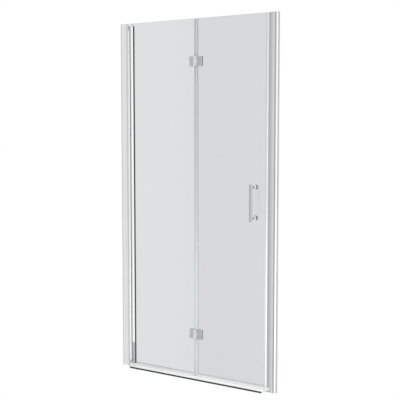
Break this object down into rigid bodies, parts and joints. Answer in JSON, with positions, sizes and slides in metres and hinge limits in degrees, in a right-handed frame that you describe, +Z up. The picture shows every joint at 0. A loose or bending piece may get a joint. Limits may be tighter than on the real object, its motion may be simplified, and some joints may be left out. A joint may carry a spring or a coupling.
{
  "type": "bifold shower door",
  "caption": "Bifold shower door for a recess: a clear pivot panel and a clear leading panel that folds on glass hinges, with a bar handle.",
  "frame": {"origin": "on the shower tray, at the middle of the width between the walls and in the middle of the glass thickness", "axes": "+X from the hinge wall to the strike wall, +Y from the room into the shower, +Z up"},
  "size_m": [1, 0.0678, 1.95],
  "materials": {
    "channel_aluminium": "bright anodised",
    "jamb_aluminium": "bright anodised",
    "cap_metal": "satin",
    "stile_aluminium": "polished",
    "threshold_aluminium": "bright anodised",
    "end_cap_plastic": "gloss",
    "foot_rubber": "matt",
    "white_seal": "semi-gloss",
    "magnet_strip": "matt",
    "clear_seal": "clear",
    "glazing_rubber": "matt",
    "pad_rubber": "matt",
    "white_nylon": "matt",
    "pivot_block_metal": "satin",
    "steel": "brushed",
    "screw_cap_plastic": "gloss",
    "hinge_chrome": "polished",
    "handle_chrome": "polished",
    "pivot_pane_glass": "clear toughened",
    "leading_pane_glass": "clear toughened"
  },
  "bodies": {
    "frame": {"hinge_wall_channel": "channel_aluminium", "strike_wall_channel": "channel_aluminium", "hinge_jamb": "jamb_aluminium", "strike_jamb": "jamb_aluminium", "hinge_jamb_cap": "cap_metal", "strike_jamb_cap": "cap_metal", "hinge_jamb_seal": "white_seal", "strike_magnet_holder": "white_seal", "strike_magnet": "magnet_strip", "top_pivot_block": "pivot_block_metal", "bottom_pivot_block": "pivot_block_metal", "top_pivot_pin": "steel", "bottom_pivot_pin": "steel", "pivot_thrust_washer": "white_nylon", "pivot_block_screws": "steel", "jamb_screws": "steel", "jamb_screw_caps": "screw_cap_plastic", "threshold": "threshold_aluminium", "threshold_foot": "foot_rubber", "threshold_hinge_cap": "end_cap_plastic", "threshold_strike_cap": "end_cap_plastic"},
    "pivot_panel": {"pivot_glass": "pivot_pane_glass", "pivot_stile": "stile_aluminium", "stile_gasket": "glazing_rubber", "top_stile_plug": "white_nylon", "bottom_stile_plug": "white_nylon", "pivot_drip_seal": "clear_seal", "fold_seal_pivot": "clear_seal", "upper_hinge_pivot_leaf": "hinge_chrome", "lower_hinge_pivot_leaf": "hinge_chrome", "upper_hinge_pin": "steel", "lower_hinge_pin": "steel", "upper_pivot_clamp": "hinge_chrome", "lower_pivot_clamp": "hinge_chrome", "pivot_hinge_pads": "pad_rubber", "pivot_hinge_sleeves": "white_nylon", "pivot_hinge_screws": "steel"},
    "leading_panel": {"leading_glass": "leading_pane_glass", "leading_drip_seal": "clear_seal", "fold_seal_leading": "clear_seal", "magnetic_seal": "white_seal", "door_magnet": "magnet_strip", "upper_hinge_leading_leaf": "hinge_chrome", "lower_hinge_leading_leaf": "hinge_chrome", "upper_leading_clamp": "hinge_chrome", "lower_leading_clamp": "hinge_chrome", "leading_hinge_pads": "pad_rubber", "leading_hinge_sleeves": "white_nylon", "leading_hinge_screws": "steel", "handle_bar": "handle_chrome", "upper_handle_post": "handle_chrome", "lower_handle_post": "handle_chrome", "upper_handle_rosette": "handle_chrome", "lower_handle_rosette": "handle_chrome", "handle_washers": "pad_rubber", "handle_sleeves": "white_nylon", "handle_bolts": "steel", "handle_inner_caps": "handle_chrome"}
  },
  "joints": [
    {"name": "panel_pivot", "type": "hinge", "parent": "frame", "child": "pivot_panel", "pos_m": [-0.4385, 0, 0.975], "axis": [0, 0, 1], "range_deg": [0, 90]},
    {"name": "panel_fold", "type": "hinge", "parent": "pivot_panel", "child": "leading_panel", "pos_m": [0.002, -0.012, 0.985], "axis": [0, 0, -1], "range_deg": [0, 170]}
  ]
}
